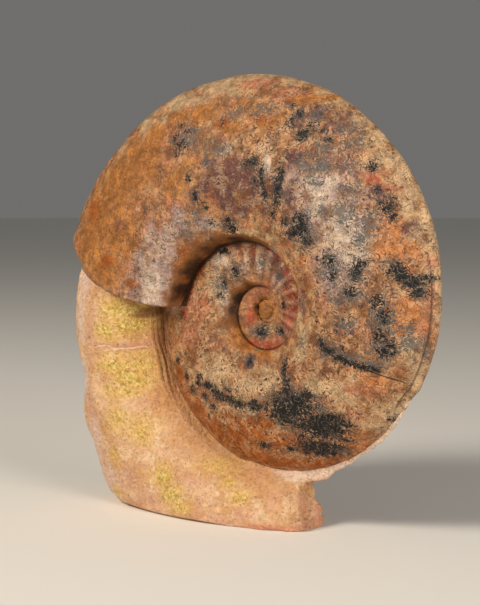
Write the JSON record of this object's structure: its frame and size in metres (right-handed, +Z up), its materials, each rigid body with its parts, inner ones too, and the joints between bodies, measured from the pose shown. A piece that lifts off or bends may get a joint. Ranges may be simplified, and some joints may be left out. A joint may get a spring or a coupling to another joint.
{
  "type": "fossil ammonite with its rock matrix",
  "caption": "Upright disc-shaped fossil ammonite; its pale rock matrix fills the space past the mouth, runs under the coil as a rim and ends in a flat foot.",
  "frame": {"origin": "on the resting plane, under the middle of the bounding box", "axes": "+Z up; the coil lies in the XZ plane; -Y is the front flank; the mouth is towards -X"},
  "size_m": [0.2292, 0.062, 0.2293],
  "materials": {
    "fossil": "rubbed to a soft sheen, mottled orange-brown, rose and blue-black",
    "matrix": "matt, finely pitted sandy rock with ochre stains"
  },
  "bodies": {
    "root": {"ammonite": "fossil", "matrix_stone": "matrix"}
  },
  "joints": []
}
